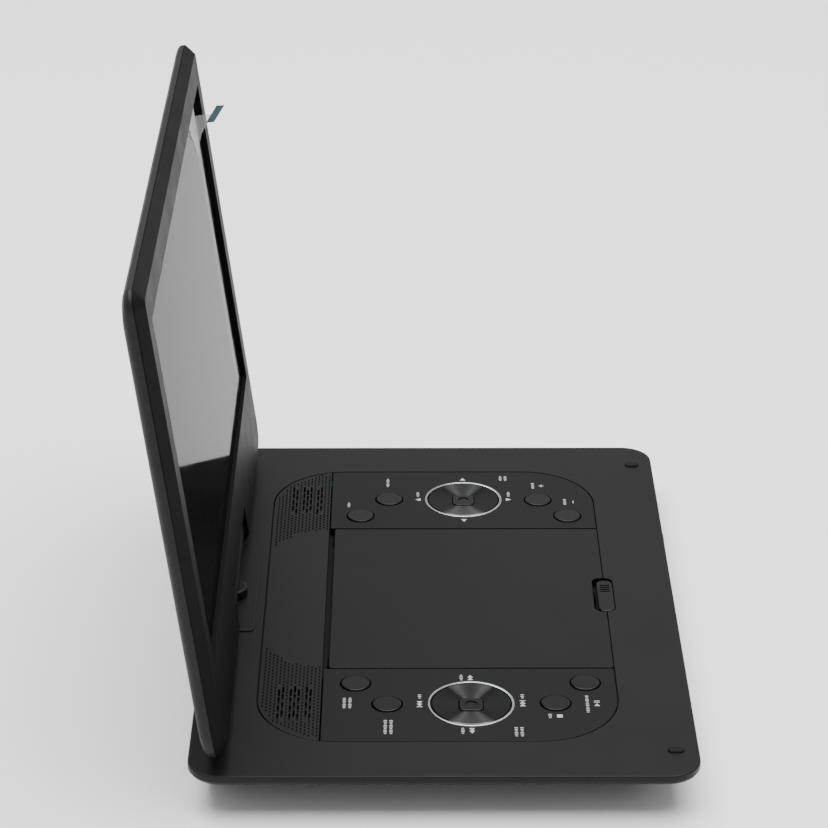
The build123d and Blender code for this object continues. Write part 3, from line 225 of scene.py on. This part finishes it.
def spun(name, dark, light, rough, lines=130.0):
    """Turned black disc: fine rings, and a sheen painted into its colour that fans out from the middle
    towards both sides.
    """
    mat = new_material(name, dark, rough, 1.0, Anisotropic=0.9)
    shader = mat.node_tree.nodes["Principled BSDF"]
    tangent = node(mat, "ShaderNodeTangent", direction_type="RADIAL", axis="Z")
    link(mat, tangent.outputs["Tangent"], shader.inputs["Tangent"])
    centred = node(mat, "ShaderNodeMapping", vector_type="POINT")
    centred.inputs["Location"].default_value = (-0.5, -0.5, 0)
    link(mat, node(mat, "ShaderNodeTexCoord").outputs["Generated"], centred.inputs["Vector"])
    flat = node(mat, "ShaderNodeVectorMath", operation="MULTIPLY")
    flat.inputs[1].default_value = (1, 1, 0)
    link(mat, centred.outputs["Vector"], flat.inputs[0])
    radius = node(mat, "ShaderNodeVectorMath", operation="LENGTH")
    link(mat, flat.outputs["Vector"], radius.inputs[0])
    rings = node(mat, "ShaderNodeTexNoise", noise_dimensions="1D", Scale=lines, Detail=2.0)
    link(mat, radius.outputs["Value"], rings.inputs["W"])
    shade = node(mat, "ShaderNodeValToRGB")
    for element, position, grey in zip(shade.color_ramp.elements, (0.35, 0.65), (0.7, 1.0)):
        element.position = position
        element.color = (grey, grey, grey, 1)
    link(mat, rings.outputs["Fac"], shade.inputs["Fac"])
    direction = node(mat, "ShaderNodeVectorMath", operation="NORMALIZE")
    link(mat, flat.outputs["Vector"], direction.inputs[0])
    sideways = node(mat, "ShaderNodeVectorMath", operation="ABSOLUTE")
    link(mat, direction.outputs["Vector"], sideways.inputs[0])
    split = node(mat, "ShaderNodeSeparateXYZ")
    link(mat, sideways.outputs["Vector"], split.inputs["Vector"])
    # painted sheen: the base colour runs from dark to light by the angle from the X axis, a highlight
    # painted on the disc
    painted_sheen = node(mat, "ShaderNodeValToRGB")
    steps = painted_sheen.color_ramp.elements
    steps[0].position, steps[1].position = PAINTED_SHEEN_EDGE, 1.0
    steps[0].color = (*dark, 1)
    steps[1].color = (*[PAINTED_SHEEN_MIDDLE * c for c in light], 1)
    steps.new(PAINTED_SHEEN_PEAK).color = (*light, 1)
    link(mat, split.outputs["X"], painted_sheen.inputs["Fac"])
    both = node(mat, "ShaderNodeVectorMath", operation="MULTIPLY")
    link(mat, painted_sheen.outputs["Color"], both.inputs[0])
    link(mat, shade.outputs["Color"], both.inputs[1])
    link(mat, both.outputs["Vector"], shader.inputs["Base Color"])
    return mat


def clear_film(name, dark, light, alpha, rough, **sockets):
    """Thin protective film with faint ripples; light passes through part of it."""
    mat = new_material(name, light, rough, Alpha=alpha, **sockets)
    bump(mat, noise(mat, 16.0, 2.0), 0.00001)
    vary_color(mat, noise(mat, 30.0), dark, light)
    return mat


def black(name, grey, rough, shine, grain=2200.0, depth=0.00002):
    """Moulded black plastic, a touch bluer than neutral; shine is its specular level."""
    color = (grey, grey, grey + 0.0005)
    return moulded(name, color, rough, grain, depth, Specular_IOR_Level=shine)


DECK = moulded("deck_plastic", (0.0052, 0.0052, 0.0056), 0.42, Specular_IOR_Level=0.16)
CASE = black("case_plastic", 0.0065, 0.50, 0.20, 1500.0, 0.00004)
PANEL = moulded("panel_plastic", (0.0038, 0.0038, 0.0042), 0.44, Specular_IOR_Level=0.14)
DOOR = moulded("door_plastic", (0.0046, 0.0046, 0.005), 0.43, Specular_IOR_Level=0.15)
BEZEL = black("bezel_plastic", 0.0045, 0.55, 0.08)
KEY = black("key_plastic", 0.0035, 0.20, 0.24, depth=0.00001)
DARK = black("inner_plastic", 0.0035, 0.6, 0.12, 1500.0)
# spun discs: the second colour is the painted sheen, a highlight painted into the base colour
SPUN_PAINTED_SHEEN = spun("spun_disc_painted_sheen", (0.014, 0.014, 0.0145), (0.17, 0.17, 0.172), 0.30)
CHROME = metal("chrome_trim", (0.46, 0.47, 0.48), 0.30, (900.0, 900.0, 900.0))
BLACK_STEEL = metal("blackened_screw", (0.07, 0.07, 0.072), 0.42)
STEEL = metal("plated_steel", (0.52, 0.52, 0.53), 0.32)
CAST = metal("cast_sled", (0.32, 0.32, 0.33), 0.45, (500.0, 500.0, 500.0))
RUBBER = moulded(
    "black_rubber", (0.005, 0.005, 0.005), 0.75, grain=900.0, depth=0.00006, Specular_IOR_Level=0.15
)
GREY_RUBBER = moulded("grey_rubber", (0.12, 0.12, 0.125), 0.7, grain=900.0, depth=0.00006)
BOARD = circuit_board()
WRAP = moulded("battery_wrap", (0.022, 0.03, 0.07), 0.3, grain=160.0, depth=0.00008)
CONE = moulded("speaker_cone", (0.02, 0.02, 0.02), 0.7, grain=700.0, depth=0.0001)
RED = moulded("remote_window", (0.02, 0.003, 0.005), 0.08, grain=300.0, depth=0.000004)
ACETAL = moulded("white_acetal", (0.72, 0.71, 0.67), 0.4, Subsurface_Weight=0.1)
LENS = moulded("lens_glass", (0.10, 0.16, 0.30), 0.03, grain=200.0, depth=0.000002, Coat_Weight=1.0)
GLASS = black("display", 0.003, 0.08, 0.008, 900.0, 0.0000004)
FILM = clear_film(
    "clear_film", (0.006, 0.006, 0.007), (0.009, 0.009, 0.010), 0.20, 0.035, Specular_IOR_Level=0.006
)
# the lifted corner is the same clear film, given a light grey colour for the light it catches: painted
# reflection
LIT_CURL_FILM = clear_film("lifted_film_painted_reflection", (0.42, 0.43, 0.44), (0.55, 0.56, 0.57), 0.40, 0.16)
PRINT = moulded("white_print", (0.36, 0.36, 0.36), 0.6)
TAPE = moulded("pull_tab", (0.03, 0.13, 0.14), 0.35, grain=400.0)

BY_SLOT = {
    "deck_plastic": DECK,
    "case_plastic": CASE,
    "panel_plastic": PANEL,
    "key_plastic": KEY,
    "chrome_trim": CHROME,
    "steel": STEEL,
    "rubber_black": RUBBER,
    "rubber_grey": GREY_RUBBER,
    "tray_plastic": DARK,
    "board_green": BOARD,
    "battery_wrap": WRAP,
    "speaker_black": CONE,
    "jack_plastic": DARK,
    "window_red": RED,
    "gear_white": ACETAL,
    "sled_metal": CAST,
    "lens_glass": LENS,
    "screen_glass": GLASS,
    "film_clear": FILM,
}
# pieces whose look differs from their slot's
BY_NODE = {
    "disc_door": DOOR,
    "lid_front_bezel": BEZEL,
    "left_rocker_disc": SPUN_PAINTED_SHEEN,
    "right_rocker_disc": SPUN_PAINTED_SHEEN,
    "lid_screws": BLACK_STEEL,
    "base_screws": BLACK_STEEL,
}


def paint(obj, mat):
    if not obj.material_slots:
        obj.data.materials.append(mat)
    for holder in obj.material_slots:
        holder.material = mat


for part in frame["record"]["subparts"]:
    obj = frame["nodes"][part["node"]]
    paint(obj, BY_NODE.get(part["node"], BY_SLOT[part["material_slot"]]))


# ---------------------------------------------------------------- mesh helpers
def mesh_piece(name, bm, mat, body, smooth=False):
    """Turn a bmesh into a piece that rides on a body."""
    data = bpy.data.meshes.new(name)
    bmesh.ops.recalc_face_normals(bm, faces=bm.faces)
    bm.to_mesh(data)
    bm.free()
    if smooth:
        for face in data.polygons:
            face.use_smooth = True
    obj = bpy.data.objects.new(name, data)
    bpy.context.collection.objects.link(obj)
    data.materials.append(mat)
    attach(obj, body)
    return obj


def prism(bm, outline, bottom, top):
    """A closed slab with this outline, a list of (x, y)."""
    lower = [bm.verts.new((x, y, bottom)) for x, y in outline]
    upper = [bm.verts.new((x, y, top)) for x, y in outline]
    bm.faces.new(lower[::-1])
    bm.faces.new(upper)
    for i in range(len(outline)):
        k = (i + 1) % len(outline)
        bm.faces.new((lower[i], lower[k], upper[k], upper[i]))


# ---------------------------------------------------------------- printed marks beside the keys
# The marks read from the near side of the base, as the user sees them: "up" is towards the hinge.
PRINT_H = 0.04 * MM
PRINT_Z = DECK_Z - 0.01 * MM
EAST, NORTH, WEST, SOUTH = 0, 90, 180, 270


def arrow(cx, cy, direction, size=2.4 * MM):
    """A triangle that points along a direction in degrees from +X."""
    a = radians(direction)
    points = []
    for along, across in ((0.5, 0.0), (-0.5, 0.55), (-0.5, -0.55)):
        x = along * size * cos(a) - across * size * sin(a)
        y = along * size * sin(a) + across * size * cos(a)
        points.append((cx + x, cy + y))
    return points


def bar(cx, cy, w, h):
    """A rectangle about a point."""
    return [
        (cx - w / 2, cy - h / 2),
        (cx + w / 2, cy - h / 2),
        (cx + w / 2, cy + h / 2),
        (cx - w / 2, cy + h / 2),
    ]


GLYPH_W, GLYPH_H, GLYPH_PITCH, LINE_PITCH = 0.7 * MM, 1.5 * MM, 1.4 * MM, 2.6 * MM
SHORT_GLYPH = 0.7  # every third stroke's share of the full height


def caption(cx, cy, count, lines=1):
    """Strokes where a word would be: tall and short ones in turn."""
    shapes = []
    for line in range(lines):
        for i in range(count):
            x = cx + (i - (count - 1) / 2) * GLYPH_PITCH
            y = cy - (line - (lines - 1) / 2) * LINE_PITCH
            shapes.append(bar(x, y, GLYPH_W, GLYPH_H * (1.0 if i % 3 else SHORT_GLYPH)))
    return shapes


WIND_PITCH = 2.2 * MM  # between the two triangles of a wind mark
SKIP_OUT, SKIP_W = 2.6 * MM, 0.6 * MM  # place and width of a skip mark's bar
ICON, ICON_LINE = 2.6 * MM, 0.5 * MM  # size and line width of the signs


def wind_mark(cx, cy, direction, with_bar=False):
    """Two triangles, and a bar at their points for a skip."""
    sign = 1 if direction == EAST else -1
    shapes = [arrow(cx + sign * (i - 0.5) * WIND_PITCH, cy, direction) for i in (0, 1)]
    if with_bar:
        shapes.append(bar(cx + sign * SKIP_OUT, cy, SKIP_W, ICON))
    return shapes


PLAY_X, PAUSE_XS = -0.6 * MM, (1.6 * MM, 2.7 * MM)  # the triangle and the two bars of play and pause
ARM_H, ARM_OUT = 1.0 * MM, 0.8 * MM  # the plus sign's upper and lower arms


def button_icon(button, cx, cy):
    """The sign printed for one button, for those that have one."""
    if button == "stop_button":
        return [bar(cx, cy, ICON, ICON)]
    if button == "play_button":
        pause = [bar(cx + x, cy, ICON_LINE, ICON) for x in PAUSE_XS]
        return [arrow(cx + PLAY_X, cy, EAST), *pause]
    if button == "volume_up_button":
        arms = [bar(cx, cy + y, ICON_LINE, ARM_H) for y in (-ARM_OUT, ARM_OUT)]
        return [bar(cx, cy, ICON, ICON_LINE), *arms]
    if button == "volume_down_button":
        return [bar(cx, cy, ICON, ICON_LINE)]
    return []


# how far each button's print stands from the button, in millimetres, and the strokes and lines of its word
BUTTON_SIGNS = {
    "mode_button": (-17.5, 3.6, 7, 2),
    "source_button": (-20.0, -0.6, 9, 2),
    "stop_button": (-11.4, -1.4, 3, 1),
    "play_button": (-19.0, -4.4, 11, 1),
    "mute_button": (12.3, 6.2, 4, 1),
    "picture_button": (19.1, 0.8, 7, 1),
    "volume_up_button": (16.2, -2.4, 5, 1),
    "volume_down_button": (15.7, -3.8, 5, 1),
}
SIGN_OUT = 23.6 * MM  # from the middle of a ring to its signs
CORNER_OUT, CORNER_DOWN = 24.5 * MM, 21.2 * MM
RING_ARROW = 2.8 * MM
# from the middle of a sign to the middle of its word
ARROW_TO_WORD, SKIP_TO_WORD, WIND_TO_WORD, ICON_TO_WORD = 6.0 * MM, 6.5 * MM, 4.2 * MM, 4.4 * MM


def ring_signs(ring, winds):
    """The four signs round a ring and the word at its outer corner."""
    cx, cy = ring.x, ring.y
    side = 1 if cx > 0 else -1
    shapes = caption(cx + side * CORNER_OUT, cy - CORNER_DOWN, 6 if winds else 4, 2)
    for direction in (EAST, NORTH, WEST, SOUTH):
        x = cx + SIGN_OUT * cos(radians(direction))
        y = cy + SIGN_OUT * sin(radians(direction))
        if not winds:
            shapes.append(arrow(x, y, direction, RING_ARROW))
            if direction in (NORTH, SOUTH):
                shapes += caption(x + ARROW_TO_WORD, y, 4)
        else:
            skips = direction in (NORTH, SOUTH)
            shapes += wind_mark(x, y, EAST if direction in (EAST, SOUTH) else WEST, skips)
            shapes += caption(x + SKIP_TO_WORD, y, 3) if skips else caption(x, y + WIND_TO_WORD, 4)
    return shapes


def marks(name, shapes):
    """One piece of white print on the panels."""
    bm = bmesh.new()
    for outline in shapes:
        prism(bm, outline, PRINT_Z, PRINT_Z + PRINT_H)
    return mesh_piece(name, bm, PRINT, "base")


marks("left_ring_print", ring_signs(middle("left_rocker_disc"), True))
marks("right_ring_print", ring_signs(middle("right_rocker_disc"), False))
for button, (dx, dy, strokes, lines) in BUTTON_SIGNS.items():
    at = middle(button)
    sign_x, sign_y = at.x + dx * MM, at.y + dy * MM
    icon = button_icon(button, sign_x, sign_y)
    word = caption(sign_x, sign_y + (ICON_TO_WORD if icon else 0.0), strokes, lines)
    marks(f"{button}_print", icon + word)

# ---------------------------------------------------------------- film over the display
# The protective film lies on the display; its far upper corner has come loose and curls forward, with
# a coloured pull tab on it.
film_points = [lid_coords(v.co) for v in frame["nodes"]["protective_film"].data.vertices]
FILM_X0, FILM_X1 = low("protective_film").x, high("protective_film").x
FILM_Y0, FILM_Y1 = min(p[1] for p in film_points), max(p[1] for p in film_points)
FILM_MID = 0.1 * MM  # half the thickness of the CAD film
FILM_Z = min(p[2] for p in film_points) + FILM_MID
CURL_R = 12.0 * MM
CURL_TURN = radians(62)
CURL_W, CURL_H = 24 * MM, 28 * MM  # the loose corner, along the upper and the far edge
CURL_START = Vector((FILM_X1 - CURL_W, FILM_Y1))  # the bend runs from here on the upper edge...
CURL_END = Vector((FILM_X1, FILM_Y1 - CURL_H))  # ...to here on the far edge
CURL_ALONG = (CURL_END - CURL_START).normalized()
CURL_ACROSS = Vector((-CURL_ALONG.y, CURL_ALONG.x))  # towards the loose corner


def beyond_bend(x, y):
    """Distance past the bend, towards the loose corner."""
    return (Vector((x, y)) - CURL_START).dot(CURL_ACROSS)


def curled(x, y, lift=0.0):
    """Where a point of the flat film lies once the corner has curled."""
    past = beyond_bend(x, y)
    if past <= 0:
        return on_lid(x, y, FILM_Z + lift)
    bent = min(past, CURL_R * CURL_TURN)
    a = bent / CURL_R
    flat = CURL_R * sin(a) + (past - bent) * cos(a) - lift * sin(a)
    out = CURL_R * (1 - cos(a)) + (past - bent) * sin(a) + lift * cos(a)
    foot = Vector((x, y)) - CURL_ACROSS * past + CURL_ACROSS * flat
    return on_lid(foot.x, foot.y, FILM_Z + out)


FILM_T = 0.06 * MM


def film_sheet(name, mat, inside, step, x0, y0, x1, y1, lift=0.0):
    """A thin closed sheet over those cells of a grid whose middle passes the test."""
    bm = bmesh.new()
    columns, rows = round((x1 - x0) / step), round((y1 - y0) / step)
    corners = {}

    def corner(i, k):
        if (i, k) not in corners:
            x, y = x0 + (x1 - x0) * i / columns, y0 + (y1 - y0) * k / rows
            corners[i, k] = bm.verts.new(curled(x, y, lift))
        return corners[i, k]

    for i in range(columns):
        for k in range(rows):
            x, y = x0 + (x1 - x0) * (i + 0.5) / columns, y0 + (y1 - y0) * (k + 0.5) / rows
            if inside(x, y):
                around = ((i, k), (i + 1, k), (i + 1, k + 1), (i, k + 1))
                bm.faces.new([corner(*cell) for cell in around])
    bmesh.ops.solidify(bm, geom=bm.faces[:], thickness=FILM_T)
    return mesh_piece(name, bm, mat, "lid", smooth=True)


FILM_STEP = 1.1 * MM
flat_film = film_sheet(
    "film_on_display",
    FILM,
    lambda x, y: beyond_bend(x, y) <= 0,
    FILM_STEP,
    FILM_X0,
    FILM_Y0,
    FILM_X1,
    FILM_Y1,
)
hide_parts("protective_film")
CORNER_CELLS = 30  # the loose corner lies within this many cells of the sheet's corner
# the loose corner wears the light grey copy of the film, a painted reflection
loose_corner = film_sheet(
    "film_loose_corner",
    LIT_CURL_FILM,
    lambda x, y: beyond_bend(x, y) > 0,
    FILM_STEP,
    FILM_X1 - CORNER_CELLS * FILM_STEP,
    FILM_Y1 - CORNER_CELLS * FILM_STEP,
    FILM_X1,
    FILM_Y1,
)
TAB_W, TAB_L, TAB_LAP, TAB_LIFT = 4.0 * MM, 12.0 * MM, 1.5 * MM, 0.2 * MM
pull_tab = film_sheet(
    "film_pull_tab",
    TAPE,
    lambda x, y: True,
    FILM_STEP / 2,
    FILM_X1 - TAB_LAP,
    FILM_Y1 - TAB_L / 2,
    FILM_X1 + TAB_W,
    FILM_Y1 + TAB_L / 2,
    TAB_LIFT,
)
# the loose corner and its tab each get a mesh of their own
for piece in (loose_corner, pull_tab):
    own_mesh(piece)

# ---------------------------------------------------------------- floor and light
FLOOR_SIZE = 40.0
FLOOR_GREY, SKY_GREY = 0.92, 0.68
bpy.ops.mesh.primitive_plane_add(size=FLOOR_SIZE, location=(0, 0, 0))
floor = bpy.context.object
floor.name = "floor"
floor.data.materials.append(new_material("floor_white", (FLOOR_GREY,) * 3, rough=0.9))

world = bpy.data.worlds.new("world")
bpy.context.scene.world = world
world.use_nodes = True
world.node_tree.nodes["Background"].inputs["Color"].default_value = (SKY_GREY, SKY_GREY, SKY_GREY, 1)


def soft_light(name, position, target, size, power):
    data = bpy.data.lights.new(name, "AREA")
    data.shape = "SQUARE"
    data.size = size
    data.energy = power
    lamp = bpy.data.objects.new(name, data)
    bpy.context.collection.objects.link(lamp)
    lamp.location = position
    lamp.rotation_euler = (Vector(target) - Vector(position)).to_track_quat("-Z", "Y").to_euler()


soft_light("top_light", position=(0.1, 0.0, 2.4), target=(0, 0, 0), size=3.0, power=165.0)
